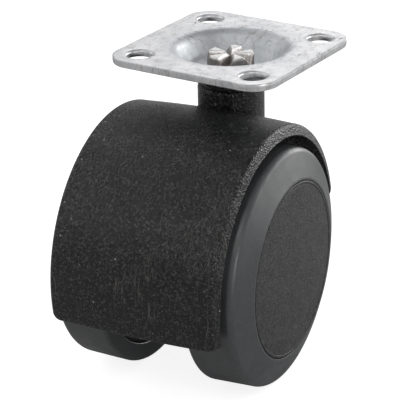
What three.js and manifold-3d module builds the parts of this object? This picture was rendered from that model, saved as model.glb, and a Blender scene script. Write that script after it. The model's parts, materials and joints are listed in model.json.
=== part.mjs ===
// A hooded twin-wheel furniture caster on a square top plate.
//
// Millimetres, +Z up. The origin is the centre of the plate's top face, on the swivel axis.
// The plate's edges run along X and Y. The housing swivels about Z under the plate, and at rest it is
// turned by swivelYaw. In the housing's own frame the wheels trail towards -X and the axle runs
// along Y, with the left wheel at +Y. "Out" is the distance from the mid-plane along the axle.

import * as THREE from 'three';
import { mergeVertices } from 'three/addons/utils/BufferGeometryUtils.js';
import Module from 'manifold-3d';

const wasm = await Module();
wasm.setup();

// ---------------------------------------------------------------- driving dimensions

const fit = 0.3; // gap between two pieces that are fitted or run together
const swivelYaw = THREE.MathUtils.degToRad(5.7);

const plate = {
  side: 38,
  thickness: 1.5,
  cornerRadius: 5.5,
  holeInset: 5.5, // from the plate's edge to a hole's centre
  holeRadius: 2.6,
  holeLip: 0.45,
};

const dish = {
  depth: 4.7,
  mouthRadius: 11.7, // where the sloping wall would meet the plate's top face
  floorRadius: 8.2, // where it would meet the floor
  mouthBend: 3.2,
  floorBend: 2.5,
};

const rivet = {
  headRadius: 4.86,
  headHeight: 3.4,
  edgeRound: 0.45,
  tenonRadius: 2.5,
  valleys: 5,
  firstValley: THREE.MathUtils.degToRad(-17.7),
  valleyHalfAngle: THREE.MathUtils.degToRad(33),
  valleyDepthAtCentre: 0.8,
  valleyDepthAtRim: 2.9,
};

const stem = {
  radius: 4,
  flangeThickness: 1.2,
  length: 23, // below the flange
  tip: 2.2, // from the ring groove to the end
  chamfer: 0.5,
};

const thrustWasher = { thickness: 0.6 };
const snapRing = { thickness: 1, bite: 0.8, gapAngle: THREE.MathUtils.degToRad(50) };

const neckBush = { wall: 0.9 };
const neck = {
  wall: 1.45, // round its bore for the stem
  edgeRound: 0.9,
  rise: 2, // above the crown of the hood
  gapToPlate: 1.5,
  endClearance: 1,
  floor: 2.5,
};

const hood = {
  clearance: 1.9, // around the tread
  wall: 2.8,
  sideInset: 0.91, // from the tread's shoulder in to the inner edge of the hood's side
  sideSlope: 0.85, // from there in to the outer edge of the side
  crown: 0.5,
  edgeRound: 1,
  frontDrop: 6.8, // lower edge below the axle, in front
  rearRise: 5.2, // lower edge above the axle, behind the neck
  cornerRound: 1.7,
};

const trail = 16.9; // from the swivel axis back to the axle
const web = {
  thickness: 4.4,
  edgeDepth: 1.5, // into the hood
  bossDepth: 1, // into the boss
  lowerEdge: THREE.MathUtils.degToRad(65),
};
const axle = { radius: 3, proud: 0.9, chamfer: 0.4 };
const boss = { wall: 3.2 };

const wheel = {
  radius: 24.9,
  sideClearance: 2.21, // from the neck to the inner side of the wheel
  treadWidth: 10.45,
  treadTaper: 0.3,
  treadDepth: 3.8,
  innerRound: 0.8,
  shoulderRound: 1.6,
  sideBulge: 2.4, // how far the side cone stands out from the shoulder to the hub
};
const cap = {
  inset: 6.7, // from the tread's radius in to the hub cap's
  wall: 1.3,
  flange: 2.4,
  dome: 0.5,
  edgeRound: 0.3,
  skirtWall: 1,
  skirtDepth: 2,
};
const core = { recess: 0.4, rimWall: 3.2, hubWall: 2.2, discInset: 3.24, discThickness: 1.6 };
const ribs = { count: 8, thickness: 1.4, depth: 2.2 };
const wheelBush = { wall: 1.3 };
const axleWasher = { thickness: 0.6, width: 3 };
const pushNut = { thickness: 0.6, width: 2.6, clearance: 0.4 };

// ---------------------------------------------------------------- places worked out from them

const dishUnderside = -(dish.depth + plate.thickness);
const stemFlangeBottom = dishUnderside - stem.flangeThickness;
const stemBottom = stemFlangeBottom - stem.length;
const neckTop = dishUnderside - neck.gapToPlate;
const sleeveRadius = stem.radius + fit + neckBush.wall; // outside of what sits in the neck's bore
const neckBoreRadius = sleeveRadius + fit;
const neckRadius = neckBoreRadius + neck.wall;
const washerTop = stemFlangeBottom - fit;
const washerBottom = washerTop - thrustWasher.thickness;
const bushTop = washerBottom - fit;
const ringTop = stemBottom + stem.tip + snapRing.thickness;
const neckBoreBottom = stemBottom - neck.endClearance;

const hoodInner = wheel.radius + hood.clearance;
const hoodOuter = hoodInner + hood.wall;
const axleHeight = neckTop - neck.rise - hoodOuter;

const wheelInner = neckRadius + wheel.sideClearance;
const shoulder = wheelInner + wheel.treadWidth;
const hubFace = shoulder + wheel.sideBulge;
const hoodHalf = shoulder - hood.sideInset;
const capRadius = wheel.radius - cap.inset;
const tyreBore = wheel.radius - wheel.treadDepth;
const coreRadius = tyreBore - fit;
const rimInner = coreRadius - core.rimWall;
const seatOut = hubFace - cap.flange; // inner face of the cap's flange and of the tyre's lip
const coreSide = seatOut - fit;
const hubInner = wheelInner + core.recess;
const discInner = hubInner + core.discInset;
const axleEnd = hubFace - cap.wall - pushNut.clearance;
const nutOuter = axleEnd - axle.proud;
const hubOuter = nutOuter - pushNut.thickness - fit;
const bushBore = axle.radius + fit;
const bushOuter = bushBore + wheelBush.wall;
const hubRadius = bushOuter + fit + core.hubWall;
const bossEnd = hubInner - 2 * fit - axleWasher.thickness;
const bossRadius = axle.radius + fit + boss.wall;

const fine = 48; // segments round the wheels and the hood
const small = 24; // segments round the stem, the axle and what fits on them
const past = 1; // how far a cutter runs past what it cuts

// ---------------------------------------------------------------- shape helpers

// A closed outline through corners [x, y, fillet], each fillet drawn as an arc of short chords.
function outline(corners, chordsPerQuarter = 3) {
  return corners.flatMap(([x, y, fillet = 0], i) => {
    const corner = new THREE.Vector2(x, y);
    if (fillet === 0) return [corner];
    const back = new THREE.Vector2(...corners.at(i - 1)).sub(corner).normalize();
    const ahead = new THREE.Vector2(...corners[(i + 1) % corners.length]).sub(corner).normalize();
    const half = Math.acos(back.dot(ahead)) / 2;
    const start = corner.clone().addScaledVector(back, fillet / Math.tan(half));
    const middle = back.clone().add(ahead).normalize();
    const centre = corner.clone().addScaledVector(middle, fillet / Math.sin(half));
    const turn = (Math.PI - 2 * half) * Math.sign(ahead.cross(back));
    const chords = Math.ceil((Math.abs(turn) / (Math.PI / 2)) * chordsPerQuarter);
    return Array.from({ length: chords + 1 }, (_, k) =>
      start.clone().rotateAround(centre, (turn * k) / chords));
  });
}

// A closed three.js geometry as a solid that can be cut and joined.
function toSolid(geometry) {
  geometry.deleteAttribute('normal');
  geometry.deleteAttribute('uv');
  const merged = mergeVertices(geometry, 1e-5);
  const index = merged.index.array;
  const triVerts = [];
  for (let i = 0; i < index.length; i += 3) {
    const [a, b, c] = index.subarray(i, i + 3);
    if (a !== b && b !== c && c !== a) triVerts.push(a, b, c);
  }
  return new wasm.Manifold(new wasm.Mesh({
    numProp: 3,
    vertProperties: merged.attributes.position.array,
    triVerts: Uint32Array.from(triVerts),
  }));
}

function toGeometry(solid) {
  const { vertProperties, triVerts } = solid.getMesh();
  const geometry = new THREE.BufferGeometry();
  geometry.setAttribute('position', new THREE.BufferAttribute(vertProperties, 3));
  geometry.setIndex(new THREE.BufferAttribute(triVerts, 1));
  geometry.computeVertexNormals();
  return geometry;
}

// Turns a closed outline of [radius, along] points about Y. One that touches the axis starts and
// ends on it.
function turnAboutY(points, segments) {
  const profile = THREE.ShapeUtils.isClockWise(points) ? [...points].reverse() : [...points];
  if (points[0].x > 0) profile.push(profile[0]);
  return toSolid(new THREE.LatheGeometry(profile, segments));
}

function turnAboutZ(points, segments) {
  return turnAboutY(points, segments).rotate([90, 0, 0]);
}

// Extrudes a flat shape drawn in X and Z along Y, from -depth / 2 to depth / 2.
function extrudeAlongY(shape, depth, curveSegments = 12) {
  const geometry = new THREE.ExtrudeGeometry(shape, { depth, bevelEnabled: false, curveSegments });
  geometry.translate(0, 0, -depth / 2).rotateX(Math.PI / 2);
  return toSolid(geometry);
}

function ring(innerRadius, outerRadius, from, to) {
  return outline([[innerRadius, from], [outerRadius, from], [outerRadius, to], [innerRadius, to]]);
}

function disc(radius, from, to) {
  return outline([[0, from], [radius, from], [radius, to], [0, to]]);
}

function piece(name, solid, { color, roughness, metalness = 0 }) {
  const material = new THREE.MeshStandardMaterial({ color, roughness, metalness });
  const mesh = new THREE.Mesh(toGeometry(solid), material);
  mesh.name = name;
  return mesh;
}

// ---------------------------------------------------------------- materials

const zincPlate = { color: 0xd6d9dd, roughness: 0.3, metalness: 1 };
const stakedSteel = { color: 0xb8b0a8, roughness: 0.38, metalness: 1 };
const brightSteel = { color: 0xa9adb1, roughness: 0.32, metalness: 1 };
const springSteel = { color: 0x4c5058, roughness: 0.4, metalness: 1 };
const blackNylon = { color: 0x17181a, roughness: 0.55 };
const capNylon = { color: 0x303136, roughness: 0.6 };
const treadRubber = { color: 0x565b63, roughness: 0.42 };
const acetal = { color: 0xd9d6cb, roughness: 0.45 };

// ---------------------------------------------------------------- top plate and stem

function topPlate() {
  const half = plate.side / 2;
  const corners = [[-half, -half], [half, -half], [half, half], [-half, half]];
  const shape = new THREE.Shape(outline(corners.map(([x, y]) => [x, y, plate.cornerRadius]), 6));
  const slab = new THREE.ExtrudeGeometry(shape, { depth: plate.thickness, bevelEnabled: false });
  slab.translate(0, 0, -plate.thickness);

  // The sheet keeps its thickness round the pressed dish, so its underside is set off from its top.
  const run = dish.mouthRadius - dish.floorRadius;
  const setOff = plate.thickness * Math.tan(Math.atan2(dish.depth, run) / 2);
  const outside = dish.mouthRadius + setOff + dish.mouthBend;
  const bore = rivet.tenonRadius + fit;
  const pressed = outline([
    [bore, -dish.depth],
    [dish.floorRadius, -dish.depth, dish.floorBend],
    [dish.mouthRadius, 0, dish.mouthBend],
    [outside, 0],
    [outside, -plate.thickness],
    [dish.mouthRadius + setOff, -plate.thickness, dish.mouthBend - plate.thickness],
    [dish.floorRadius + setOff, dishUnderside, dish.floorBend + plate.thickness],
    [bore, dishUnderside],
  ], 5);
  const opening = disc(outside - past, -plate.thickness - past, past);
  let solid = toSolid(slab).subtract(turnAboutZ(opening, fine)).add(turnAboutZ(pressed, fine));

  const lip = plate.holeLip;
  const hole = turnAboutZ(outline([
    [0, dishUnderside - past],
    [plate.holeRadius, dishUnderside - past],
    [plate.holeRadius, -lip, lip],
    [plate.holeRadius + lip + past, past],
    [0, past],
  ], 2), small);
  for (const [x, y] of corners) {
    const inset = plate.holeInset;
    solid = solid.subtract(hole.translate([x - Math.sign(x) * inset, y - Math.sign(y) * inset, 0]));
  }
  return piece('top_plate', solid, zincPlate);
}

// One V-shaped valley of the staked head: its root falls from the centre out to the rim.
function headValley(angle) {
  const height = 2 * rivet.headHeight;
  const halfWidth = height * Math.tan(rivet.valleyHalfAngle);
  const section = new THREE.Shape(outline([[0, 0], [halfWidth, height], [-halfWidth, height]]));
  const length = 2 * rivet.headRadius;
  const geometry = new THREE.ExtrudeGeometry(section, { depth: length, bevelEnabled: false });
  const fall = (rivet.valleyDepthAtRim - rivet.valleyDepthAtCentre) / rivet.headRadius;
  geometry.translate(0, 0, -past).rotateX(Math.PI / 2).rotateX(Math.atan(fall)).rotateZ(angle + Math.PI / 2);
  geometry.translate(0, 0, rivet.headHeight - dish.depth - rivet.valleyDepthAtCentre);
  return toSolid(geometry);
}

function swivelStem() {
  const headTop = rivet.headHeight - dish.depth;
  const grooveTop = ringTop + fit;
  const grooveBottom = ringTop - snapRing.thickness - fit;
  const grooveRadius = stem.radius - snapRing.bite;
  let solid = turnAboutZ(outline([
    [0, stemBottom],
    [stem.radius - stem.chamfer, stemBottom],
    [stem.radius, stemBottom + stem.chamfer],
    [stem.radius, grooveBottom],
    [grooveRadius, grooveBottom],
    [grooveRadius, grooveTop],
    [stem.radius, grooveTop],
    [stem.radius, stemFlangeBottom],
    [sleeveRadius, stemFlangeBottom],
    [sleeveRadius, dishUnderside],
    [rivet.tenonRadius, dishUnderside],
    [rivet.tenonRadius, -dish.depth],
    [rivet.headRadius, -dish.depth],
    [rivet.headRadius, headTop, rivet.edgeRound],
    [0, headTop],
  ]), small);
  for (let i = 0; i < rivet.valleys; i += 1) {
    solid = solid.subtract(headValley(rivet.firstValley + (i * 2 * Math.PI) / rivet.valleys));
  }
  return piece('swivel_stem', solid, stakedSteel);
}

function stemThrustWasher() {
  const points = ring(stem.radius + fit, sleeveRadius, washerBottom, washerTop);
  return piece('stem_thrust_washer', turnAboutZ(points, small), brightSteel);
}

function stemSnapRing() {
  const innerRadius = stem.radius - snapRing.bite + fit;
  const body = turnAboutZ(ring(innerRadius, sleeveRadius, ringTop - snapRing.thickness, ringTop), small);
  const reach = 2 * sleeveRadius;
  const spread = reach * Math.tan(snapRing.gapAngle / 2);
  const gap = new THREE.Shape(outline([[0, 0], [reach, -spread], [reach, spread]]));
  const depth = snapRing.thickness + 2 * past;
  const cutter = new THREE.ExtrudeGeometry(gap, { depth, bevelEnabled: false });
  cutter.translate(0, 0, ringTop - snapRing.thickness - past);
  return piece('stem_snap_ring', body.subtract(toSolid(cutter)), springSteel);
}

// ---------------------------------------------------------------- housing

// The hood is one moulded barrel round the axle. Its lower edge is straight, with round corners,
// and lies lower in front of the wheels than behind the neck.
function hoodBand() {
  const edge = hoodOuter - hood.crown;
  const outerHalf = hoodHalf - hood.sideSlope;
  const flat = outerHalf - hood.edgeRound;
  const crowned = [-0.8, -0.4, 0, 0.4, 0.8].map((t) => [hoodOuter - hood.crown * t * t, t * flat]);
  const barrel = turnAboutY(outline([
    [hoodInner, -hoodHalf],
    [edge, -outerHalf, hood.edgeRound],
    ...crowned,
    [edge, outerHalf, hood.edgeRound],
    [hoodInner, hoodHalf],
  ]), fine);
  const lowerEdge = (bottom, from, to) => {
    const top = hoodOuter + past;
    const half = hoodHalf;
    const side = half + past;
    const shape = new THREE.Shape(outline([
      [-side, top],
      [-side, bottom + hood.cornerRound],
      [-half, bottom + hood.cornerRound],
      [-half, bottom, hood.cornerRound],
      [half, bottom, hood.cornerRound],
      [half, bottom + hood.cornerRound],
      [side, bottom + hood.cornerRound],
      [side, top],
    ]));
    const geometry = new THREE.ExtrudeGeometry(shape, { depth: to - from, bevelEnabled: false });
    geometry.rotateX(Math.PI / 2).rotateZ(Math.PI / 2).translate(from, 0, 0);
    return toSolid(geometry);
  };
  const reach = hoodOuter + past;
  const kept = lowerEdge(-hood.frontDrop, -reach, past).add(lowerEdge(hood.rearRise, 0, reach));
  return barrel.intersect(kept);
}

// The web stands on the mid-plane between the wheels and ties the hood, the neck and the boss.
function centreWeb() {
  const reach = hoodInner + web.edgeDepth;
  const rear = Math.asin((hood.rearRise + past) / reach);
  const front = Math.PI + Math.asin((hood.frontDrop - past) / reach);
  const shape = new THREE.Shape();
  shape.absarc(0, 0, reach, rear, front, false);
  const inner = bossRadius - web.bossDepth;
  shape.absarc(0, 0, inner, front + web.lowerEdge, 2 * Math.PI + rear - web.lowerEdge, false);
  shape.closePath();
  return extrudeAlongY(shape, web.thickness, 20);
}

function housing() {
  const neckBottom = neckBoreBottom - neck.floor;
  const neckBody = turnAboutZ(outline([
    [0, neckBottom],
    [neckRadius, neckBottom],
    [neckRadius, neckTop, neck.edgeRound],
    [0, neckTop],
  ]), 48).translate([trail, 0, -axleHeight]);
  const neckBore = turnAboutZ(disc(neckBoreRadius, neckBoreBottom, neckTop + past), 48)
    .translate([trail, 0, -axleHeight]);
  const bossBody = turnAboutY(disc(bossRadius, -bossEnd, bossEnd), small);
  const axleBore = turnAboutY(disc(axle.radius + fit, -bossEnd - past, bossEnd + past), small);
  const solid = hoodBand().add(centreWeb()).add(bossBody).add(neckBody);
  return piece('housing', solid.subtract(axleBore).subtract(neckBore), blackNylon);
}

function stemBush() {
  const bottom = ringTop + fit;
  const points = ring(stem.radius + fit, sleeveRadius, bottom, bushTop);
  return piece('stem_bush', turnAboutZ(points, small), brightSteel);
}

// ---------------------------------------------------------------- axle and wheels

function wheelAxle() {
  const end = axleEnd - axle.chamfer;
  const solid = turnAboutY(outline([
    [0, -axleEnd],
    [axle.radius - axle.chamfer, -axleEnd],
    [axle.radius, -end],
    [axle.radius, end],
    [axle.radius - axle.chamfer, axleEnd],
    [0, axleEnd],
  ]), small);
  return piece('axle', solid, brightSteel);
}

// Each wheel piece below is drawn at +Y. The other side's is the same piece turned over.

function coreSolid() {
  const discTop = discInner + core.discThickness;
  let solid = turnAboutY(outline([
    [bushOuter + fit, hubInner],
    [hubRadius, hubInner],
    [hubRadius, discInner],
    [rimInner, discInner],
    [rimInner, hubInner],
    [coreRadius, hubInner],
    [coreRadius, coreSide],
    [rimInner, coreSide],
    [rimInner, discTop],
    [hubRadius, discTop],
    [hubRadius, hubOuter],
    [bushOuter + fit, hubOuter],
  ]), fine);
  for (let i = 0; i < ribs.count; i += 1) {
    const from = hubRadius - core.hubWall / 2;
    const to = rimInner + core.rimWall / 2;
    const rib = new THREE.BoxGeometry(to - from, ribs.depth + core.discThickness / 2, ribs.thickness);
    rib.translate((from + to) / 2, discInner - ribs.depth / 2 + core.discThickness / 4, 0);
    rib.rotateY((i * 2 * Math.PI) / ribs.count);
    solid = solid.add(toSolid(rib));
  }
  return solid;
}

function tyreSolid() {
  const lipBore = capRadius + fit;
  const treadEdge = wheel.radius - wheel.treadTaper;
  return turnAboutY(outline([
    [tyreBore, wheelInner],
    [wheel.radius, wheelInner, wheel.innerRound],
    [treadEdge, shoulder, wheel.shoulderRound],
    [lipBore, hubFace - cap.edgeRound],
    [lipBore, seatOut],
    [tyreBore, seatOut],
  ]), fine);
}

function capSolid() {
  const skirtOuter = rimInner - fit;
  const skirtInner = skirtOuter - cap.skirtWall;
  const doming = [0, 0.4, 0.7].map((t) => [t * capRadius, hubFace + cap.dome * (1 - t * t)]);
  return turnAboutY(outline([
    ...doming,
    [capRadius, hubFace, cap.edgeRound],
    [capRadius, seatOut],
    [skirtOuter, seatOut],
    [skirtOuter, seatOut - cap.skirtDepth],
    [skirtInner, seatOut - cap.skirtDepth],
    [skirtInner, hubFace - cap.wall],
    [0, hubFace - cap.wall],
  ]), fine);
}

function wheelPieces(side) {
  const bushPoints = ring(bushBore, bushOuter, hubInner, hubOuter);
  const group = new THREE.Group();
  group.add(
    piece(`wheel_core_${side}`, coreSolid(), blackNylon),
    piece(`tyre_${side}`, tyreSolid(), treadRubber),
    piece(`hub_cap_${side}`, capSolid(), capNylon),
    piece(`wheel_bush_${side}`, turnAboutY(bushPoints, small), acetal),
  );
  return group;
}

// What stays on the axle at each end: the washer by the boss and the nut pushed on outside the hub.
function axlePieces(side) {
  const washerIn = bossEnd + fit;
  const washer = ring(bushBore, bushBore + axleWasher.width, washerIn, washerIn + axleWasher.thickness);
  const nut = ring(bushBore, bushBore + pushNut.width, nutOuter - pushNut.thickness, nutOuter);
  const group = new THREE.Group();
  group.add(
    piece(`axle_washer_${side}`, turnAboutY(washer, small), brightSteel),
    piece(`push_nut_${side}`, turnAboutY(nut, small), springSteel),
  );
  return group;
}

// ---------------------------------------------------------------- assembly

const runningGear = new THREE.Group();
runningGear.position.set(-trail, 0, axleHeight);
runningGear.add(housing(), wheelAxle());
for (const side of ['left', 'right']) {
  const halfTurn = side === 'left' ? 0 : Math.PI;
  for (const group of [wheelPieces(side), axlePieces(side)]) {
    group.rotation.z = halfTurn;
    runningGear.add(group);
  }
}

const swivel = new THREE.Group();
swivel.rotation.z = swivelYaw;
swivel.add(runningGear, stemBush());

const caster = new THREE.Group();
caster.add(topPlate(), swivelStem(), stemThrustWasher(), stemSnapRing(), swivel);

export default caster;
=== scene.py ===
"""The looks of a hooded twin-wheel furniture caster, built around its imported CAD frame.

Sizes are in millimetres in this script and become metres where a mesh is made. Every round piece is
turned again with fine, filleted edges, in the place that the CAD node it stands for holds.
"""

import json
import math

import bmesh
import bpy
import numpy as np
from mathutils import Matrix, Vector


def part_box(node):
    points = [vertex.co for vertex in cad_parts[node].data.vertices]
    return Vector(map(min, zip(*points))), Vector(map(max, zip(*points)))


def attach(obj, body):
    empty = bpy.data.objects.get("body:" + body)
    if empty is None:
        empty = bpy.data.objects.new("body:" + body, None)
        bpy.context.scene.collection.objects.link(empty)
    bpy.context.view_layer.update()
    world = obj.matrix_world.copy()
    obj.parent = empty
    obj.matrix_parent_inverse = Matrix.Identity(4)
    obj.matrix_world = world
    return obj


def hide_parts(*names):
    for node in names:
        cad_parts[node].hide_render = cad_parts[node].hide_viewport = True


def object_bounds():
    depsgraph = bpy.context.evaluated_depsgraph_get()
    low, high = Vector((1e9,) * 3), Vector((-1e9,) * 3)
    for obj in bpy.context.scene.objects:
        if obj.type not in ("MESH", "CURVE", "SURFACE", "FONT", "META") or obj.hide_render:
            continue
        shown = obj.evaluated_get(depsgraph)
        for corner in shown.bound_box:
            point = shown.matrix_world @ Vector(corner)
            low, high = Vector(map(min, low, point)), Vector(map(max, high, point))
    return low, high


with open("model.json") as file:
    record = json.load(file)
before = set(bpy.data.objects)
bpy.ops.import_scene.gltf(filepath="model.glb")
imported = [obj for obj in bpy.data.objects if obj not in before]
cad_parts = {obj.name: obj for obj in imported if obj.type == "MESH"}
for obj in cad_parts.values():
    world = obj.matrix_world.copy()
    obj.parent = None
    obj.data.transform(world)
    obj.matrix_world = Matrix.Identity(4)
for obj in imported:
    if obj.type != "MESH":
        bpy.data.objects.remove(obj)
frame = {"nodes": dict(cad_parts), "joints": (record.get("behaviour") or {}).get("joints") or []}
cad_low, cad_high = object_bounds()

MM = 0.001
UP = np.array((0.0, 0.0, 1.0))

# ------------------------------------------------------------------ sizes, in millimetres

FIT = 0.3  # gap between pieces that are fitted together
HOUSING_YAW = math.radians(5.7)  # at rest, from the plate's edges

PLATE_SIDE = 38.0
PLATE_THICKNESS = 1.5
PLATE_CORNER = 5.5
HOLE_INSET = 5.5  # from the plate's edge to a hole's centre
HOLE_RADIUS = 2.6

DISH_DEPTH = 4.7
DISH_MOUTH = 11.7  # radius where the sloping wall would meet the plate's top
DISH_FLOOR = 8.2  # radius where it would meet the floor
DISH_MOUTH_BEND = 3.2
DISH_FLOOR_BEND = 2.5
DISH_SHADE_AND_DULL_FULL = 10.0  # the painted shade and the duller roughness of the dish fade out from here
DISH_SHADE_AND_DULL_END = 15.5

HEAD_RADIUS = 4.86
HEAD_HEIGHT = 3.4
HEAD_ROUND = 0.45
TENON_RADIUS = 2.5
VALLEYS = 5
FIRST_VALLEY = math.radians(-17.7)
VALLEY_HALF_ANGLE = math.radians(33)
VALLEY_AT_CENTRE = 0.8  # depth of a valley, which falls outwards
VALLEY_AT_RIM = 2.9
VALLEY_BROWN_AND_SHADE_TOP = -2.1  # heights between which the valleys' brown and painted shade turn to bright steel
RIDGE_UNSHADED_BOTTOM = -1.32
VALLEY_START = -1.0  # a valley begins this far from the centre, on the other side

STEM_RADIUS = 4.0
STEM_FLANGE = 1.2
STEM_LENGTH = 23.0  # below the flange
STEM_TIP = 2.2  # below the snap ring's groove
RING_THICKNESS = 1.0
RING_BITE = 0.8

NECK_RADIUS = 6.95
NECK_WALL = 1.45
NECK_ROUND = 0.9
NECK_GAP = 1.5
NECK_END_CLEARANCE = 1.0
NECK_FLOOR = 2.5

HOOD_CLEARANCE = 1.9  # around the tread
HOOD_WALL = 2.8
HOOD_SIDE = 18.7  # half of the hood's width, at its inner edge
HOOD_SIDE_SLOPE = 0.85  # from there in to the outer edge
HOOD_CROWN = 0.5
HOOD_ROUND = 1.0
HOOD_FRONT_DROP = 6.8  # lower edge below the axle, on the side away from the neck
HOOD_REAR_RISE = 5.2  # lower edge above the axle, behind the neck
HOOD_CORNER = 1.7
HOOD_SOFT = 0.5  # rounding of the lower edges

WEB_THICKNESS = 4.4
WEB_INTO_HOOD = 1.5
WEB_INTO_BOSS = 1.0
WEB_END_INSET = 1.0
WEB_LOWER_EDGE = math.radians(65)
WEB_SOFT = 0.35
AXLE_RADIUS = 3.0
AXLE_PROUD = 0.9  # of the push nut
BOSS_WALL = 3.2

WHEEL_RADIUS = 24.9
WHEEL_SIDE_CLEARANCE = 2.21  # from the neck to the wheel
TREAD_WIDTH = 10.45
TREAD_TAPER = 0.3
TREAD_DEPTH = 3.8
TREAD_INNER_ROUND = 0.8
SHOULDER_ROUND = 1.6
SIDE_BULGE = 2.4  # how far the hub stands out from the shoulder
LIP_SINK = 0.08  # the tread's lip round the cap lies this far below the hub's face
LIP_FLAT = 0.5  # outer edge of the lip's flat, from the cap's radius
LIP_END = 0.75  # where the lip meets the tread's side
CAP_RADIUS = 18.2
CAP_WALL = 1.3
CAP_FLANGE = 2.4
CAP_DOME = 0.5
CAP_SKIRT_WALL = 1.0
CAP_SKIRT_DEPTH = 2.0
BEAD = 0.6  # width of the cap's raised edge, with a groove inside it
BEAD_RISE = 0.06  # of that edge above the dome's rim
GROOVE = 0.14
GROOVE_DEPTH = 0.1
CAP_GAP = 0.12  # between the cap and the tread, as it looks
RIM_WALL = 3.2
HUB_WALL = 2.2
BUSH_WALL = 1.3
WASHER_THICKNESS = 0.6
CORE_RECESS = 0.4
CORE_DISC_OUT = 12.8
CORE_DISC = 1.6
RIBS = 8
RIB_THICKNESS = 1.4
RIB_DEPTH = 2.2
RIB_SINK = 0.6  # into the hub and into the rim
NUT_THICKNESS = 0.6
NUT_CLEARANCE = 0.4  # from the axle's end to the cap

# ------------------------------------------------------------------ places worked out from them

DISH_UNDERSIDE = -(DISH_DEPTH + PLATE_THICKNESS)
FLANGE_BOTTOM = DISH_UNDERSIDE - STEM_FLANGE
STEM_BOTTOM = FLANGE_BOTTOM - STEM_LENGTH
NECK_TOP = DISH_UNDERSIDE - NECK_GAP
NECK_BORE = NECK_RADIUS - NECK_WALL
NECK_BORE_BOTTOM = STEM_BOTTOM - NECK_END_CLEARANCE
RING_TOP = STEM_BOTTOM + STEM_TIP + RING_THICKNESS

HOOD_INNER = WHEEL_RADIUS + HOOD_CLEARANCE
HOOD_OUTER = HOOD_INNER + HOOD_WALL
WHEEL_INNER = NECK_RADIUS + WHEEL_SIDE_CLEARANCE
SHOULDER = WHEEL_INNER + TREAD_WIDTH
HUB_FACE = SHOULDER + SIDE_BULGE
TYRE_BORE = WHEEL_RADIUS - TREAD_DEPTH
CORE_RADIUS = TYRE_BORE - FIT
RIM_INNER = CORE_RADIUS - RIM_WALL
SEAT_OUT = HUB_FACE - CAP_FLANGE
CORE_SIDE = SEAT_OUT - FIT
HUB_INNER = WHEEL_INNER + CORE_RECESS
BUSH_OUTER = AXLE_RADIUS + FIT + BUSH_WALL
HUB_RADIUS = BUSH_OUTER + FIT + HUB_WALL
HUB_OUTER = HUB_FACE - CAP_WALL - NUT_CLEARANCE - AXLE_PROUD - NUT_THICKNESS - FIT
BOSS_END = HUB_INNER - 2 * FIT - WASHER_THICKNESS
BOSS_RADIUS = AXLE_RADIUS + FIT + BOSS_WALL

# The axle's line and the direction that the housing faces come from the wheels' joints.
joints = {j["name"]: j for j in frame["joints"]}
AXLE_LINE = np.array(joints["wheel_left_spin"]["axis"])
AHEAD = np.cross(AXLE_LINE, UP)
AXLE_CENTRE = (
    np.array(joints["wheel_left_spin"]["pos_m"]) + np.array(joints["wheel_right_spin"]["pos_m"])
) / (2 * MM)


def round_axle(radius, angle, out):
    """A point about the axle's line, out to the left of the mid-plane."""
    around = math.cos(angle) * AHEAD + math.sin(angle) * UP
    return (AXLE_CENTRE + radius * around + out * AXLE_LINE) * MM


def round_stem(radius, angle, height):
    """A point about the swivel axis."""
    return np.array((radius * math.cos(angle), radius * math.sin(angle), height)) * MM


# ------------------------------------------------------------------ mesh helpers


def add_object(name, data):
    """Puts a mesh, a light or a camera in the scene as a new object."""
    thing = bpy.data.objects.new(name, data)
    bpy.context.scene.collection.objects.link(thing)
    return thing


def rounded(corners, chords=6):
    """A closed outline through corners (x, y, fillet), each fillet an arc of short chords."""
    points = []
    count = len(corners)
    for i, (x, y, fillet) in enumerate(corners):
        corner = np.array((x, y), float)
        if fillet <= 0:
            points.append(corner)
            continue
        back = np.array(corners[i - 1][:2], float) - corner
        ahead = np.array(corners[(i + 1) % count][:2], float) - corner
        back /= np.linalg.norm(back)
        ahead /= np.linalg.norm(ahead)
        half = math.acos(float(back @ ahead)) / 2
        start = corner + back * fillet / math.tan(half)
        middle = (back + ahead) / np.linalg.norm(back + ahead)
        centre = corner + middle * fillet / math.sin(half)
        turn = math.copysign(math.pi - 2 * half, ahead[0] * back[1] - ahead[1] * back[0])
        for k in range(chords + 1):
            c, s = math.cos(turn * k / chords), math.sin(turn * k / chords)
            arm = start - centre
            points.append(centre + np.array((c * arm[0] - s * arm[1], s * arm[0] + c * arm[1])))
    return points


def finish_mesh(name, mesh, body, nodes, material, sharp=35):
    """Turns a mesh into a piece that rides on a body and stands for CAD nodes."""
    bm = bmesh.new()
    bm.from_mesh(mesh)
    bmesh.ops.remove_doubles(bm, verts=bm.verts, dist=1e-7)
    bmesh.ops.recalc_face_normals(bm, faces=bm.faces)
    bm.to_mesh(mesh)
    bm.free()
    mesh.shade_smooth()
    mesh.set_sharp_from_angle(angle=math.radians(sharp))
    piece = add_object(name, mesh)
    piece.data.materials.append(material)
    weighted = piece.modifiers.new("weighted_normals", "WEIGHTED_NORMAL")
    weighted.keep_sharp = True
    weighted.weight = 50
    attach(piece, body)
    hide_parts(*nodes)


def turned_mesh(name, outline, place, segments=160):
    """A closed outline of (radius, along) turned about an axis."""
    vertices, rings, faces = [], [], []
    for radius, along in outline:
        if radius < 1e-6:
            vertices.append(place(0.0, 0.0, along))
            rings.append([len(vertices) - 1] * segments)
            continue
        rings.append(list(range(len(vertices), len(vertices) + segments)))
        vertices += [place(radius, 2 * math.pi * k / segments, along) for k in range(segments)]
    for i, ring in enumerate(rings):
        after = rings[(i + 1) % len(rings)]
        for k in range(segments):
            j = (k + 1) % segments
            corners = list(dict.fromkeys((ring[k], ring[j], after[j], after[k])))
            if len(corners) > 2:
                faces.append(corners)
    mesh = bpy.data.meshes.new(name)
    mesh.from_pydata([tuple(v) for v in vertices], [], faces)
    return mesh


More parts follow.
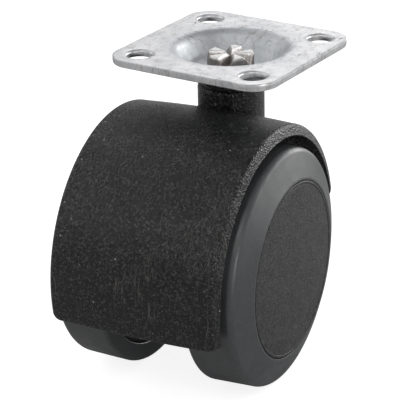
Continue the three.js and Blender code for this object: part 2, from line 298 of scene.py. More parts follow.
def lofted_mesh(name, loops):
    """A skin through loops with the same number of points, with a face over each end."""
    size = len(loops[0])
    vertices = [tuple(p) for loop in loops for p in loop]
    faces = []
    for i in range(len(loops) - 1):
        for k in range(size):
            j = (k + 1) % size
            faces.append((i * size + k, i * size + j, (i + 1) * size + j, (i + 1) * size + k))
    faces.append(tuple(range(size)))
    faces.append(tuple((len(loops) - 1) * size + k for k in range(size)))
    mesh = bpy.data.meshes.new(name)
    mesh.from_pydata(vertices, [], faces)
    return mesh


# ------------------------------------------------------------------ materials


class Nodes:
    """A short way to build a material's node tree."""

    def __init__(self, name):
        self.material = bpy.data.materials.new(name)
        self.material.use_nodes = True
        self.tree = self.material.node_tree
        self.shader = self.tree.nodes["Principled BSDF"]
        self.coords = self.tree.nodes.new("ShaderNodeTexCoord").outputs["Object"]

    def set(self, **values):
        for key, value in values.items():
            self.shader.inputs[key.replace("_", " ")].default_value = value

    def plug(self, value, socket):
        if isinstance(value, bpy.types.NodeSocket):
            self.tree.links.new(value, socket)
        else:
            socket.default_value = value

    def mapping(self, scale=(1, 1, 1), rotation=(0, 0, 0), location=(0, 0, 0)):
        node = self.tree.nodes.new("ShaderNodeMapping")
        self.tree.links.new(self.coords, node.inputs["Vector"])
        node.inputs["Scale"].default_value = scale
        node.inputs["Rotation"].default_value = rotation
        node.inputs["Location"].default_value = location
        return node.outputs["Vector"]

    def noise(self, per_mm, detail=2.0, rough=0.5, vector=None):
        node = self.tree.nodes.new("ShaderNodeTexNoise")
        self.tree.links.new(vector or self.coords, node.inputs["Vector"])
        node.inputs["Scale"].default_value = per_mm / MM
        node.inputs["Detail"].default_value = detail
        node.inputs["Roughness"].default_value = rough
        return node.outputs["Fac"]

    def cells(self, per_mm, output="Distance", vector=None):
        node = self.tree.nodes.new("ShaderNodeTexVoronoi")
        self.tree.links.new(vector or self.coords, node.inputs["Vector"])
        node.inputs["Scale"].default_value = per_mm / MM
        return node.outputs[output]

    def ramp(self, value, low, high, to_low=0.0, to_high=1.0):
        node = self.tree.nodes.new("ShaderNodeMapRange")
        node.interpolation_type = "SMOOTHSTEP"
        self.plug(value, node.inputs["Value"])
        node.inputs["From Min"].default_value = low
        node.inputs["From Max"].default_value = high
        node.inputs["To Min"].default_value = to_low
        node.inputs["To Max"].default_value = to_high
        return node.outputs["Result"]

    def math(self, operation, a, b=0.0):
        node = self.tree.nodes.new("ShaderNodeMath")
        node.operation = operation
        self.plug(a, node.inputs[0])
        self.plug(b, node.inputs[1])
        return node.outputs[0]

    def mix(self, factor, a, b):
        node = self.tree.nodes.new("ShaderNodeMix")
        node.data_type = "RGBA"
        self.plug(factor, node.inputs["Factor"])
        self.plug(a, node.inputs["A"])
        self.plug(b, node.inputs["B"])
        return node.outputs["Result"]

    def bump(self, height, depth_mm, normal=None):
        node = self.tree.nodes.new("ShaderNodeBump")
        node.inputs["Distance"].default_value = depth_mm * MM
        node.inputs["Strength"].default_value = 1.0
        self.tree.links.new(height, node.inputs["Height"])
        if normal is not None:
            self.tree.links.new(normal, node.inputs["Normal"])
        return node.outputs["Normal"]

    def separate(self, vector):
        node = self.tree.nodes.new("ShaderNodeSeparateXYZ")
        self.tree.links.new(vector, node.inputs[0])
        return node.outputs

    def length(self, vector):
        node = self.tree.nodes.new("ShaderNodeVectorMath")
        node.operation = "LENGTH"
        self.tree.links.new(vector, node.inputs[0])
        return node.outputs["Value"]

    def lines(self, turn, per_mm, stretch, width, clusters=0.12, seed=0.0):
        """Hair scratches: the contour lines of a stretched noise, kept in a few patches."""
        shift = (seed, -seed, 2 * seed)
        vector = self.mapping(scale=(1, 1, 1 / stretch), rotation=turn, location=shift)
        field = self.noise(per_mm, 0.0, 0.4, vector)
        away = self.math("ABSOLUTE", self.math("SUBTRACT", field, 0.5))
        line = self.ramp(away, 0.0, width, 1.0, 0.0)
        patch = self.ramp(self.noise(clusters, 2.0, 0.5, self.mapping(location=shift)), 0.5, 0.64)
        return self.math("MULTIPLY", line, patch)

    def specks(self, per_mm, radius, share, seed=0.0):
        """Small scattered specks, one in some of the cells of a random pattern."""
        vector = self.mapping(location=(seed, seed, seed))
        spot = self.ramp(self.cells(per_mm, vector=vector), radius * 0.6, radius, 1.0, 0.0)
        pick = self.separate(self.cells(per_mm, output="Color", vector=vector))[0]
        return self.math("MULTIPLY", spot, self.ramp(pick, 1 - share, 1 - share + 0.02))

    def colour(self, value):
        self.plug(value, self.shader.inputs["Base Color"])

    def roughness(self, value):
        self.plug(value, self.shader.inputs["Roughness"])

    def normal(self, value):
        self.plug(value, self.shader.inputs["Normal"])


def grey(level, tint=(1.0, 1.0, 1.0)):
    """A grey of a level, with a tint, and full alpha."""
    return tuple(level * t for t in tint) + (1.0,)


def zinc_material():
    """Bright zinc: cloudy plating, hair scratches, painted bluish shade and a duller roughness in
    the pressed dish.
    """
    m = Nodes("zinc_plating")
    m.set(Metallic=1.0)
    cloud = m.ramp(m.noise(0.16, 4.0, 0.6), 0.3, 0.7)
    base = m.mix(cloud, grey(0.76, (0.98, 0.99, 1.02)), grey(0.94, (1, 1, 1.01)))
    radius = m.length(m.mapping(scale=(1, 1, 0)))
    dish = m.ramp(radius, DISH_SHADE_AND_DULL_FULL * MM, DISH_SHADE_AND_DULL_END * MM, 1.0, 0.0)
    # painted shade: the pressed dish is coloured a darker, bluer grey, where it lies in shade
    base = m.mix(m.math("MULTIPLY", dish, 0.55), base, grey(0.62, (0.93, 1.0, 1.05)))
    stain = m.ramp(m.noise(0.55, 6.0, 0.7), 0.5, 0.64)
    base = m.mix(m.math("MULTIPLY", stain, 0.45), base, grey(0.42, (1.03, 1, 0.96)))
    fleck = m.ramp(m.noise(2.4, 3.0, 0.7), 0.56, 0.7)
    base = m.mix(m.math("MULTIPLY", fleck, 0.4), base, grey(0.4))
    hair = m.lines((0, 0.5, 0.4), 0.3, 8, 0.011, 0.16, 0.023)
    cross = m.lines((0.4, 0, -0.9), 0.28, 9, 0.01, 0.16, 0.061)
    marks = m.math("MAXIMUM", hair, cross)
    base = m.mix(m.math("MULTIPLY", marks, 0.75), base, grey(0.16, (1.05, 1, 0.94)))
    m.colour(base)
    rough = m.ramp(m.noise(1.2, 5.0, 0.6), 0.3, 0.7, 0.3, 0.46)
    rough = m.math("ADD", rough, m.math("MULTIPLY", dish, 0.16))
    m.roughness(m.math("ADD", rough, m.math("MULTIPLY", marks, 0.2)))
    fine = m.bump(m.noise(2.2, 3.0, 0.6), 0.02)
    m.normal(m.bump(marks, 0.012, fine))
    return m.material


def staked_material():
    """Steel spread by the punch: bright on the ridges; brown and torn in the valleys, with painted
    shade that darkens them the deeper they go.
    """
    m = Nodes("staked_steel")
    m.set(Metallic=1.0)
    height = m.separate(m.coords)[2]
    # painted shade, with the torn steel's brown: the head's colour darkens with depth into the
    # valleys
    ridge = m.ramp(height, VALLEY_BROWN_AND_SHADE_TOP * MM, RIDGE_UNSHADED_BOTTOM * MM)
    valley = m.mix(m.noise(1.5, 4.0), grey(0.2, (1.12, 1.0, 0.93)), grey(0.42, (1.06, 1.0, 0.96)))
    m.colour(m.mix(ridge, valley, grey(0.86, (1, 0.99, 0.98))))
    m.roughness(m.ramp(m.noise(2.6, 4.0), 0.3, 0.7, 0.26, 0.5))
    m.normal(m.bump(m.noise(2.0, 4.0, 0.65), 0.05))
    return m.material


def steel_material():
    """Turned steel, for the pins, bushes and washers."""
    m = Nodes("turned_steel")
    m.set(Metallic=1.0)
    m.colour(m.mix(m.noise(1.0, 3.0), grey(0.5), grey(0.62)))
    m.roughness(m.ramp(m.noise(2.0, 4.0), 0.3, 0.7, 0.25, 0.42))
    m.normal(m.bump(m.noise(6.0, 2.0), 0.004))
    return m.material


def spring_material():
    """Oiled black spring steel, for the rings that hold things on."""
    m = Nodes("spring_steel")
    m.set(Metallic=1.0)
    m.colour(m.mix(m.noise(1.0, 3.0), grey(0.07), grey(0.13, (0.95, 1.0, 1.1))))
    m.roughness(m.ramp(m.noise(2.0, 4.0), 0.3, 0.7, 0.3, 0.5))
    m.normal(m.bump(m.noise(5.0, 2.0), 0.006))
    return m.material


def hood_material():
    """Black nylon from an eroded mould: grain with painted glints in its colour, rub marks round the
    barrel, some dust.
    """
    m = Nodes("grained_black_nylon")
    m.set(Specular_IOR_Level=0.5)
    cloud = m.ramp(m.noise(0.12, 5.0, 0.6), 0.35, 0.7)
    base = m.mix(cloud, grey(0.003, (1, 1, 0.97)), grey(0.006, (1, 1, 1.03)))
    # painted glints: a share of the grain's cells is coloured bright, as sparkles of light on the
    # grain
    shade = m.separate(m.cells(3.0, output="Color"))[0]
    base = m.mix(m.ramp(shade, 0.66, 1.0), base, grey(0.05, (0.97, 1.0, 1.06)))
    rub = m.lines((0, 0, -HOUSING_YAW), 0.9, 30, 0.03, 0.09, 0.011)
    base = m.mix(m.math("MULTIPLY", rub, 0.6), base, grey(0.1, (1.14, 1.0, 0.88)))
    hair = m.lines((0.6, 0.3, 0.5), 0.35, 9, 0.006, 0.11, 0.037)
    base = m.mix(m.math("MULTIPLY", hair, 0.7), base, grey(0.14, (1.03, 1.0, 0.96)))
    dust = m.specks(0.6, 0.13, 0.16, 0.02)
    m.colour(m.mix(m.math("MULTIPLY", dust, 0.8), base, grey(0.4)))
    worn = m.ramp(m.noise(0.3, 4.0, 0.6), 0.35, 0.7, 0.2, 0.28)
    m.roughness(m.math("ADD", worn, m.math("MULTIPLY", rub, 0.12)))
    fine = m.bump(m.noise(2.6, 1.0, 0.5), 0.08)
    m.normal(m.bump(m.cells(2.5), 0.13, fine))
    return m.material


def core_material():
    """Smooth black nylon, for the wheels' cores."""
    m = Nodes("smooth_black_nylon")
    m.set(Specular_IOR_Level=0.35)
    m.colour(m.mix(m.noise(0.6, 3.0), grey(0.008), grey(0.014)))
    m.roughness(m.ramp(m.noise(1.2, 4.0), 0.3, 0.7, 0.3, 0.45))
    m.normal(m.bump(m.noise(3.0, 2.0), 0.02))
    return m.material


def cap_material():
    """Dark grey nylon with a moulded grain, slightly polished by use."""
    m = Nodes("grained_grey_nylon")
    m.set(Specular_IOR_Level=0.55)
    cloud = m.ramp(m.noise(0.16, 5.0, 0.6), 0.35, 0.7)
    base = m.mix(cloud, grey(0.014, (1, 0.99, 1.04)), grey(0.024, (1, 0.99, 1.05)))
    grain = m.noise(2.4, 3.0, 0.6)
    shade = m.separate(m.cells(2.6, output="Color"))[0]
    base = m.mix(m.ramp(shade, 0.3, 1.0), base, grey(0.055, (1, 0.97, 1.06)))
    hair = m.lines((0.5, 0.2, 0.3), 0.3, 8, 0.005, 0.12, 0.083)
    base = m.mix(m.math("MULTIPLY", hair, 0.4), base, grey(0.14))
    dust = m.specks(0.5, 0.09, 0.15, 0.05)
    m.colour(m.mix(m.math("MULTIPLY", dust, 0.5), base, grey(0.3)))
    m.roughness(m.ramp(m.noise(0.4, 4.0), 0.3, 0.7, 0.36, 0.5))
    m.normal(m.bump(grain, 0.16))
    return m.material


def tread_material():
    """Slate grey polyurethane with a satin skin, a few fine marks and dust."""
    m = Nodes("slate_polyurethane")
    m.set(Specular_IOR_Level=0.8)
    cloud = m.ramp(m.noise(0.1, 4.0, 0.55), 0.35, 0.7)
    base = m.mix(cloud, grey(0.054, (0.95, 1, 1.05)), grey(0.07, (0.96, 1, 1.05)))
    base = m.mix(m.ramp(m.noise(1.8, 4.0, 0.7), 0.5, 0.7), base, grey(0.085, (0.97, 1, 1.04)))
    hair = m.lines((0.2, 0.4, 0.9), 0.3, 8, 0.006, 0.12, 0.051)
    base = m.mix(m.math("MULTIPLY", hair, 0.35), base, grey(0.16))
    dust = m.specks(0.45, 0.08, 0.14, 0.09)
    m.colour(m.mix(m.math("MULTIPLY", dust, 0.5), base, grey(0.32)))
    m.roughness(m.ramp(m.noise(0.35, 5.0, 0.6), 0.3, 0.7, 0.34, 0.46))
    m.normal(m.bump(m.noise(1.8, 3.0, 0.5), 0.02))
    return m.material


def acetal_material():
    """Natural acetal, for the wheels' bushes."""
    m = Nodes("natural_acetal")
    m.colour(m.mix(m.noise(0.5, 3.0), grey(0.62, (1, 0.98, 0.92)), grey(0.7, (1, 0.98, 0.93))))
    m.roughness(m.ramp(m.noise(1.0, 3.0), 0.3, 0.7, 0.35, 0.5))
    m.normal(m.bump(m.noise(2.0, 2.0), 0.01))
    return m.material


ZINC = zinc_material()
STAKED = staked_material()
STEEL = steel_material()
SPRING = spring_material()
HOOD = hood_material()
CORE = core_material()
CAP = cap_material()
TREAD = tread_material()
ACETAL = acetal_material()

# ------------------------------------------------------------------ top plate


def square_loop(inset, height, arc=14):
    """The plate's rounded square outline, inset all round, at a height."""
    half = PLATE_SIDE / 2 - inset
    corners = [(-half, -half), (half, -half), (half, half), (-half, half)]
    outline = rounded([(x, y, PLATE_CORNER - inset) for x, y in corners], arc)
    return [np.array((x, y, height)) * MM for x, y in outline]


def circle_loop(centre, radius, height, count):
    """A level circle of count points."""
    angles = [2 * math.pi * k / count for k in range(count)]
    return [
        np.array((centre[0] + radius * math.cos(a), centre[1] + radius * math.sin(a), height)) * MM
        for a in angles
    ]


def top_plate():
    """A pressed plate: sheared outside edge, punched holes with rolled-over lips, round dish."""
    t = PLATE_THICKNESS
    slope = math.atan2(DISH_DEPTH, DISH_MOUTH - DISH_FLOOR)
    set_off = t * math.tan(slope / 2)
    outside = DISH_MOUTH + set_off + DISH_MOUTH_BEND
    bore = TENON_RADIUS + FIT
    section = rounded(
        [
            (outside, 0, 0),
            (DISH_MOUTH, 0, DISH_MOUTH_BEND),
            (DISH_FLOOR, -DISH_DEPTH, DISH_FLOOR_BEND),
            (bore, -DISH_DEPTH, 0.2),
            (bore, DISH_UNDERSIDE, 0.1),
            (DISH_FLOOR + set_off, DISH_UNDERSIDE, DISH_FLOOR_BEND + t),
            (DISH_MOUTH + set_off, -t, DISH_MOUTH_BEND - t),
            (outside, -t, 0),
        ],
        10,
    )
    # Sections of the sheared edge and of a punched hole, as (inset, height), from the top down.
    edge = [
        (0.32, 0),
        (0.16, -0.03),
        (0.04, -0.12),
        (0, -0.3),
        (0, -0.9),
        (0.05, -0.98),
        (0.03, -1.3),
        (0.12, -t),
    ]
    lip = [
        (0.8, 0),
        (0.5, -0.05),
        (0.24, -0.17),
        (0.07, -0.34),
        (0, -0.56),
        (0, -1.25),
        (0.12, -t),
    ]
    inset = PLATE_SIDE / 2 - HOLE_INSET
    centres = [(sx * inset, sy * inset) for sx in (-1, 1) for sy in (-1, 1)]

    bm = bmesh.new()

    def skin(loops):
        rows = [[bm.verts.new(tuple(p)) for p in loop] for loop in loops]
        for low, high in zip(rows, rows[1:]):
            for k in range(len(low)):
                j = (k + 1) % len(low)
                bm.faces.new((low[k], low[j], high[j], high[k]))
        return rows[0], rows[-1]

    ends = [skin([square_loop(e, z) for e, z in edge])]
    for centre in centres:
        ends.append(skin([circle_loop(centre, HOLE_RADIUS + e, z, 64) for e, z in lip]))
    ends.append(skin([circle_loop((0, 0), r, z, 144) for r, z in section]))
    for which in (0, 1):
        border = []
        for pair in ends:
            loop = pair[which]
            for k, vertex in enumerate(loop):
                border.append(bm.edges.get((vertex, loop[(k + 1) % len(loop)])))
        bmesh.ops.triangle_fill(bm, use_beauty=True, use_dissolve=False, edges=border)
    mesh = bpy.data.meshes.new("pressed_plate")
    bm.to_mesh(mesh)
    bm.free()
    finish_mesh("pressed_plate", mesh, "plate", ["top_plate"], ZINC)


# ------------------------------------------------------------------ stem


def head_height(radius, angle):
    """Height of the staked head's top: a flat end cut by straight V-shaped valleys."""
    top = HEAD_HEIGHT - DISH_DEPTH
    fall = (VALLEY_AT_RIM - VALLEY_AT_CENTRE) / HEAD_RADIUS
    height = top
    for i in range(VALLEYS):
        turn = angle - FIRST_VALLEY - i * 2 * math.pi / VALLEYS
        along, across = radius * math.cos(turn), abs(radius * math.sin(turn))
        if along > VALLEY_START:
            root = top - VALLEY_AT_CENTRE - fall * along
            height = min(height, root + across / math.tan(VALLEY_HALF_ANGLE))
    return height


def staked_head():
    """The stem's upper end, spread over the plate by a star-shaped punch."""
    around, steps, side_steps = 240, 30, 6
    lowest = -DISH_DEPTH + 0.3  # the top stays clear of the dish's floor
    loops = []
    for k in range(1, steps + 1):
        radius = HEAD_RADIUS * k / steps
        loop = []
        for n in range(around):
            angle = 2 * math.pi * n / around
            height = head_height(radius, angle)
            rim = max(0.0, radius - (HEAD_RADIUS - HEAD_ROUND))
            drop = HEAD_ROUND - math.sqrt(max(0.0, HEAD_ROUND**2 - rim**2))
            loop.append(round_stem(radius, angle, max(height - drop, lowest)))
        loops.append(loop)
    rim_loop = loops[-1]
    for k in range(1, side_steps + 1):
        share = k / side_steps
        loop = []
        for n in range(around):
            angle = 2 * math.pi * n / around
            top = rim_loop[n][2] / MM
            loop.append(round_stem(HEAD_RADIUS, angle, top + (-DISH_DEPTH - top) * share))
        loops.append(loop)
    mesh = lofted_mesh("staked_head", loops)
    finish_mesh("staked_head", mesh, "plate", ["swivel_stem"], STAKED, 60)


def stem_shaft():
    """The stem below the plate, with its flange and the groove for the snap ring."""
    groove_top = RING_TOP + FIT
    groove_bottom = RING_TOP - RING_THICKNESS - FIT
    groove = STEM_RADIUS - RING_BITE
    outline = rounded(
        [
            (0, STEM_BOTTOM, 0),
            (STEM_RADIUS, STEM_BOTTOM, 0.5),
            (STEM_RADIUS, groove_bottom, 0.08),
            (groove, groove_bottom, 0.1),
            (groove, groove_top, 0.1),
            (STEM_RADIUS, groove_top, 0.08),
            (STEM_RADIUS, FLANGE_BOTTOM, 0.3),
            (NECK_BORE - FIT, FLANGE_BOTTOM, 0.15),
            (NECK_BORE - FIT, DISH_UNDERSIDE, 0.15),
            (TENON_RADIUS, DISH_UNDERSIDE, 0.0),
            (TENON_RADIUS, -DISH_DEPTH, 0.0),
            (0, -DISH_DEPTH, 0),
        ],
        4,
    )
    mesh = turned_mesh("stem_shaft", outline, round_stem, 96)
    finish_mesh("stem_shaft", mesh, "plate", ["swivel_stem"], STEEL)


# ------------------------------------------------------------------ housing


def hood_section(half_width, inset, chords=7):
    """The hood's wall in section, as (radius, out) points, shrunk all round by inset."""
    inner, edge = HOOD_INNER + inset, HOOD_OUTER - HOOD_CROWN - inset
    wide = half_width - inset
    half = wide - HOOD_SIDE_SLOPE
    flat = half_width - HOOD_SIDE_SLOPE - HOOD_ROUND
    crown = [
        (HOOD_OUTER - inset - HOOD_CROWN * t * t, t * flat, 0) for t in np.linspace(-0.96, 0.96, 13)
    ]
    return rounded(
        [
            (inner, -wide, 0.15),
            (edge, -half, HOOD_ROUND - inset),
            *crown,
            (edge, half, HOOD_ROUND - inset),
            (inner, wide, 0.15),
        ],
        chords,
    )


def hood_shell():
    """The barrel round the axle, with round corners and softened edges at both lower ends."""
    soft = HOOD_SOFT
    steps = [soft * (1 - math.cos(a)) for a in np.linspace(0, math.pi / 2, 6)]
    steps += list(np.linspace(soft, HOOD_CORNER, 9)[1:])

    def loop(lift, limit):
        """The section a little way in from a lower edge, where its corners are still rounded."""
        narrowing = HOOD_CORNER - math.sqrt(HOOD_CORNER**2 - max(0.0, HOOD_CORNER - lift) ** 2)
        inset = soft - math.sqrt(soft**2 - max(0.0, soft - lift) ** 2)
        section = hood_section(HOOD_SIDE - narrowing, inset)
        return [(radius, limit(radius, lift), out) for radius, out in section]

    def rear(radius, lift):
        return math.asin((HOOD_REAR_RISE + lift) / radius)

    def front(radius, lift):
        return math.pi + math.asin((HOOD_FRONT_DROP - lift) / radius)

    first = [loop(lift, rear) for lift in steps]
    last = [loop(lift, front) for lift in reversed(steps)]
    middle = []
    count = 96  # sections round the barrel
    for k in range(1, count):
        share = k / count
        middle.append(
            [
                (a[0], a[1] + (b[1] - a[1]) * share, a[2])
                for a, b in zip(first[-1], last[0])
            ]
        )
    loops = [[round_axle(*point) for point in row] for row in first + middle + last]
    mesh = lofted_mesh("hood", loops)
    finish_mesh("hood", mesh, "housing", ["housing"], HOOD, 60)


def neck():
    """The tube that the stem turns in, closed at its lower end."""
    bottom = NECK_BORE_BOTTOM - NECK_FLOOR
    outline = rounded(
        [
            (0, bottom, 0),
            (NECK_RADIUS, bottom, 0.6),
            (NECK_RADIUS, NECK_TOP, NECK_ROUND),
            (NECK_BORE, NECK_TOP, 0.25),
            (NECK_BORE, NECK_BORE_BOTTOM, 0.3),
            (0, NECK_BORE_BOTTOM, 0),
        ]
    )
    mesh = turned_mesh("neck", outline, round_stem, 128)
    finish_mesh("neck", mesh, "housing", ["housing"], HOOD)


def axle_boss():
    """The tube that holds the axle."""
    bore = AXLE_RADIUS + FIT
    outline = rounded(
        [
            (bore, -BOSS_END, 0.2),
            (BOSS_RADIUS, -BOSS_END, 0.4),
            (BOSS_RADIUS, BOSS_END, 0.4),
            (bore, BOSS_END, 0.2),
        ]
    )
    mesh = turned_mesh("axle_boss", outline, round_axle, 96)
    finish_mesh("axle_boss", mesh, "housing", ["housing"], HOOD)


def centre_web():
    """The plate on the mid-plane that ties hood, neck and boss, with softened lower edges."""
    reach = HOOD_INNER + WEB_INTO_HOOD
    rear = math.asin((HOOD_REAR_RISE + WEB_END_INSET) / reach)
    front = math.pi + math.asin((HOOD_FRONT_DROP - WEB_END_INSET) / reach)
    outer = [(reach, a) for a in np.linspace(rear, front, 72)]
    inside = BOSS_RADIUS - WEB_INTO_BOSS
    first, last = front + WEB_LOWER_EDGE, 2 * math.pi + rear - WEB_LOWER_EDGE
    inner = [(inside, a) for a in np.linspace(first, last, 24)]
    half = WEB_THICKNESS / 2
    bm = bmesh.new()
    rows = []
    for out in (-half, half):
        rows.append([bm.verts.new(tuple(round_axle(r, a, out))) for r, a in outer + inner])
    count = len(rows[0])
    for k in range(count):
        j = (k + 1) % count
        bm.faces.new((rows[0][k], rows[0][j], rows[1][j], rows[1][k]))
    for row in rows:
        bm.faces.new(row)
    rims = [bm.edges.get((row[k], row[(k + 1) % count])) for row in rows for k in range(count)]
    bmesh.ops.bevel(bm, geom=rims, offset=WEB_SOFT * MM, segments=3, profile=0.5, affect="EDGES")
    mesh = bpy.data.meshes.new("centre_web")
    bm.to_mesh(mesh)
    bm.free()
    finish_mesh("centre_web", mesh, "housing", ["housing"], HOOD)


# ------------------------------------------------------------------ wheels


def on_side(side):
    """The place of a wheel point, out along the axle to the left (1) or to the right (-1)."""
    return lambda radius, angle, out: round_axle(radius, angle, side * out)


def tyre(name, side):
    """A wheel's tread: a rounded shoulder, a coned side and a thin lip round the cap."""
    tread_edge = WHEEL_RADIUS - TREAD_TAPER
    lip = HUB_FACE - LIP_SINK
    outline = rounded(
        [
            (TYRE_BORE, WHEEL_INNER, 0.2),
            (WHEEL_RADIUS, WHEEL_INNER, TREAD_INNER_ROUND),
            (tread_edge, SHOULDER, SHOULDER_ROUND),
            (CAP_RADIUS + LIP_END, HUB_FACE - 2 * LIP_SINK, 0.3),
            (CAP_RADIUS + LIP_FLAT, lip, 0.1),
            (CAP_RADIUS + CAP_GAP, lip, 0.12),
            (CAP_RADIUS + CAP_GAP, SEAT_OUT, 0.1),
            (TYRE_BORE, SEAT_OUT, 0.1),
        ],
        8,
    )
    mesh = turned_mesh(f"tread_{name}", outline, on_side(side), 224)
    finish_mesh(f"tread_{name}", mesh, f"wheel_{name}", [f"tyre_{name}"], TREAD)


def hub_cap(name, side):
    """The disc that covers a wheel's outer side, slightly domed, with a skirt inside the rim."""
    skirt = RIM_INNER - FIT
    skirt_end = SEAT_OUT - CAP_SKIRT_DEPTH
    floor_radius = CAP_RADIUS - BEAD - GROOVE
    dome = [
        (floor_radius * t, HUB_FACE + CAP_DOME * (1 - t * t) - BEAD_RISE * t * t, 0)
        for t in np.linspace(0, 0.995, 16)
    ]
    outline = rounded(
        [
            *dome,
            (floor_radius, HUB_FACE - GROOVE_DEPTH, 0.05),
            (floor_radius + GROOVE, HUB_FACE - GROOVE_DEPTH, 0.05),
            (floor_radius + GROOVE, HUB_FACE, 0.1),
            (CAP_RADIUS, HUB_FACE, 0.25),
            (CAP_RADIUS, SEAT_OUT, 0.1),
            (skirt, SEAT_OUT, 0.1),
            (skirt, skirt_end, 0.2),
            (skirt - CAP_SKIRT_WALL, skirt_end, 0.2),
            (skirt - CAP_SKIRT_WALL, HUB_FACE - CAP_WALL, 0.3),
            (0, HUB_FACE - CAP_WALL, 0),
        ]
    )
    mesh = turned_mesh(f"cap_{name}", outline, on_side(side), 192)
    finish_mesh(f"cap_{name}", mesh, f"wheel_{name}", [f"hub_cap_{name}"], CAP)


def wheel_core(name, side):
    """The moulding inside a wheel: rim, disc and hub, with ribs on the inner side."""
    disc_top = CORE_DISC_OUT + CORE_DISC
    bore = BUSH_OUTER + FIT
    outline = rounded(
        [
            (bore, HUB_INNER, 0.15),
            (HUB_RADIUS, HUB_INNER, 0.3),
            (HUB_RADIUS, CORE_DISC_OUT, 0.5),
            (RIM_INNER, CORE_DISC_OUT, 0.5),
            (RIM_INNER, HUB_INNER, 0.3),
            (CORE_RADIUS, HUB_INNER, 0.15),
            (CORE_RADIUS, CORE_SIDE, 0.15),
            (RIM_INNER, CORE_SIDE, 0.15),
            (RIM_INNER, disc_top, 0.3),
            (HUB_RADIUS, disc_top, 0.3),
            (HUB_RADIUS, HUB_OUTER, 0.2),
            (bore, HUB_OUTER, 0.15),
        ],
        5,
    )
    mesh = turned_mesh(f"core_{name}", outline, on_side(side), 144)
    node = f"wheel_core_{name}"
    finish_mesh(f"core_{name}", mesh, f"wheel_{name}", [node], CORE)
    for i in range(RIBS):
        wheel_rib(name, side, i)


def wheel_rib(name, side, index):
    """One radial rib on the inner face of a core's disc, from the hub to the rim."""
    angle = index * 2 * math.pi / RIBS
    start, end = HUB_RADIUS - RIB_SINK, RIM_INNER + RIB_SINK
    half = RIB_THICKNESS / 2
    top, bottom = CORE_DISC_OUT - RIB_DEPTH, CORE_DISC_OUT + CORE_DISC / 2
    corners = [(-half, bottom, 0), (-half, top, 0.4), (half, top, 0.4), (half, bottom, 0)]
    outline = rounded(corners, 4)
    along = math.cos(angle) * AHEAD + math.sin(angle) * UP
    across = np.cross(AXLE_LINE, along)
    loops = []
    for radius in np.linspace(start, end, 9):
        loops.append(
            [
                (AXLE_CENTRE + radius * along + x * across + side * out * AXLE_LINE) * MM
                for x, out in outline
            ]
        )
    mesh = lofted_mesh(f"rib_{name}_{index}", loops)
    node = f"wheel_core_{name}"
    finish_mesh(f"rib_{name}_{index}", mesh, f"wheel_{name}", [node], CORE)


# ------------------------------------------------------------------ CAD pieces that stay


def dress(node, material):
    """A small CAD piece whose shape is right gets a finish and smooth round faces."""
    piece = frame["nodes"][node]
    piece.data.materials.clear()
    piece.data.materials.append(material)
    piece.data.shade_smooth()
    piece.data.set_sharp_from_angle(angle=math.radians(32))


top_plate()
staked_head()
stem_shaft()
hood_shell()
neck()
axle_boss()
centre_web()
for label, direction in (("left", 1), ("right", -1)):
    tyre(label, direction)
    hub_cap(label, direction)
    wheel_core(label, direction)
    dress(f"axle_washer_{label}", STEEL)
    dress(f"push_nut_{label}", SPRING)
    dress(f"wheel_bush_{label}", ACETAL)
dress("axle", STEEL)
dress("stem_bush", STEEL)
dress("stem_thrust_washer", STEEL)
dress("stem_snap_ring", SPRING)

# ------------------------------------------------------------------ floor, light and camera

CAMERA_AZIMUTH = math.radians(-57.11)  # 0 looks along +Y
CAMERA_ELEVATION = math.radians(22.91)
CAMERA_ROLL = math.radians(-1.11)
CAMERA_DISTANCE = 424.92
CAMERA_AIM = -30.0  # height that it is aimed at, before the shifts
CAMERA_SHIFT_RIGHT = -6.80
CAMERA_SHIFT_UP = -4.06
CAMERA_LENS = 181.16
SENSOR_WIDTH = 36.0

FLOOR_HALF = 4.0  # in metres
LIGHT_DISTANCE = 0.9  # in metres
FLOOR_ALBEDO = 0.56
FLOOR_GLOW = 0.84
STUDIO_STRENGTH = 0.2


def direction_from(azimuth, elevation):
    """The direction from the caster to something that stands round it."""
    level = math.cos(elevation)
    return Vector((math.sin(azimuth) * level, -math.cos(azimuth) * level, math.sin(elevation)))


def floor():
    """White paper, exposed so that only the shade right under the wheels shows."""
    size = FLOOR_HALF
    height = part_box("tyre_right")[0].z
    mesh = bpy.data.meshes.new("floor")
    flat = [(-size, -size), (size, -size), (size, size), (-size, size)]
    mesh.from_pydata([(x, y, height) for x, y in flat], [], [(0, 1, 2, 3)])
    plane = add_object("floor", mesh)
    m = Nodes("floor_paper")
    m.set(Roughness=1.0, Specular_IOR_Level=0.0)
    m.colour(grey(FLOOR_ALBEDO))
    m.set(Emission_Color=(1, 1, 1, 1))
    seen = m.tree.nodes.new("ShaderNodeLightPath").outputs["Is Camera Ray"]
    m.plug(m.math("MULTIPLY", seen, FLOOR_GLOW), m.shader.inputs["Emission Strength"])
    plane.data.materials.append(m.material)


SOFT_BOXES = (
    # azimuth from the camera and elevation in degrees, width in metres, watts
    ("key", -24, 44, 0.16, 0.7),
    ("glint", -50, 12, 0.05, 0.4),
    ("front", 14, 45, 0.3, 0.8),
    ("left_high", -75, 48, 0.5, 0.5),
    ("left_low", -100, 15, 0.4, 0.6),
    ("right", 92, 40, 0.5, 0.4),
    ("front_low", 10, 12, 0.5, 0.2),
    ("side_low", 40, 6, 0.16, 1.0),
    ("right_low", 105, 10, 0.6, 2.4),
    ("back_high", 180, 40, 0.45, 0.8),
    ("back_low", 165, 14, 0.5, 0.4),
    ("back_left", -130, 32, 0.5, 0.7),
    ("back_right", 138, 9, 0.4, 2.0),
    ("overhead", -120, 72, 0.4, 0.2),
)


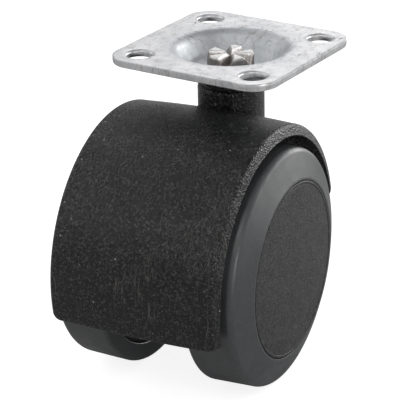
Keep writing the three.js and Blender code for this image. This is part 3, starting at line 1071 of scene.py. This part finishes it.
def soft_boxes():
    """Square soft lights in a ring round the caster, all turned to its middle."""
    target = (cad_low + cad_high) / 2
    for name, azimuth, elevation, width, power in SOFT_BOXES:
        back = direction_from(math.radians(azimuth) + CAMERA_AZIMUTH, math.radians(elevation))
        data = bpy.data.lights.new(name, "AREA")
        data.size = width
        data.energy = power
        light = add_object(name, data)
        light.location = target + back * LIGHT_DISTANCE
        light.rotation_euler = (-back).to_track_quat("-Z", "Y").to_euler()
        light.visible_camera = False


def camera():
    """A long lens, looking down on the hood and the right wheel, slightly rolled."""
    roll = CAMERA_ROLL
    back = direction_from(CAMERA_AZIMUTH, CAMERA_ELEVATION)
    right = Vector((math.cos(CAMERA_AZIMUTH), math.sin(CAMERA_AZIMUTH), 0))
    up = back.cross(right)
    right, up = (
        math.cos(roll) * right + math.sin(roll) * up,
        math.cos(roll) * up - math.sin(roll) * right,
    )
    data = bpy.data.cameras.new("camera")
    data.sensor_width = SENSOR_WIDTH
    data.lens = CAMERA_LENS
    data.clip_start, data.clip_end = 0.01, 50
    view = add_object("camera", data)
    aim = Vector((0, 0, CAMERA_AIM * MM))
    place = aim + back * (CAMERA_DISTANCE * MM)
    place += right * (CAMERA_SHIFT_RIGHT * MM)
    place += up * (CAMERA_SHIFT_UP * MM)
    turn = Matrix((right, up, back)).transposed()
    view.matrix_world = Matrix.Translation(place) @ turn.to_4x4()
    bpy.context.scene.camera = view


def surroundings():
    """A dim, even studio round the object, in front of a white background."""
    world = bpy.data.worlds.new("studio")
    world.use_nodes = True
    tree = world.node_tree
    dim = tree.nodes["Background"]
    dim.inputs["Color"].default_value = (1, 1, 1, 1)
    dim.inputs["Strength"].default_value = STUDIO_STRENGTH
    white = tree.nodes.new("ShaderNodeBackground")
    white.inputs["Color"].default_value = (1, 1, 1, 1)
    white.inputs["Strength"].default_value = 1.0
    seen = tree.nodes.new("ShaderNodeLightPath").outputs["Is Camera Ray"]
    both = tree.nodes.new("ShaderNodeMixShader")
    tree.links.new(seen, both.inputs[0])
    tree.links.new(dim.outputs[0], both.inputs[1])
    tree.links.new(white.outputs[0], both.inputs[2])
    tree.links.new(both.outputs[0], tree.nodes["World Output"].inputs["Surface"])
    bpy.context.scene.world = world
    bpy.context.scene.view_settings.view_transform = "Standard"


floor()
soft_boxes()
camera()
surroundings()
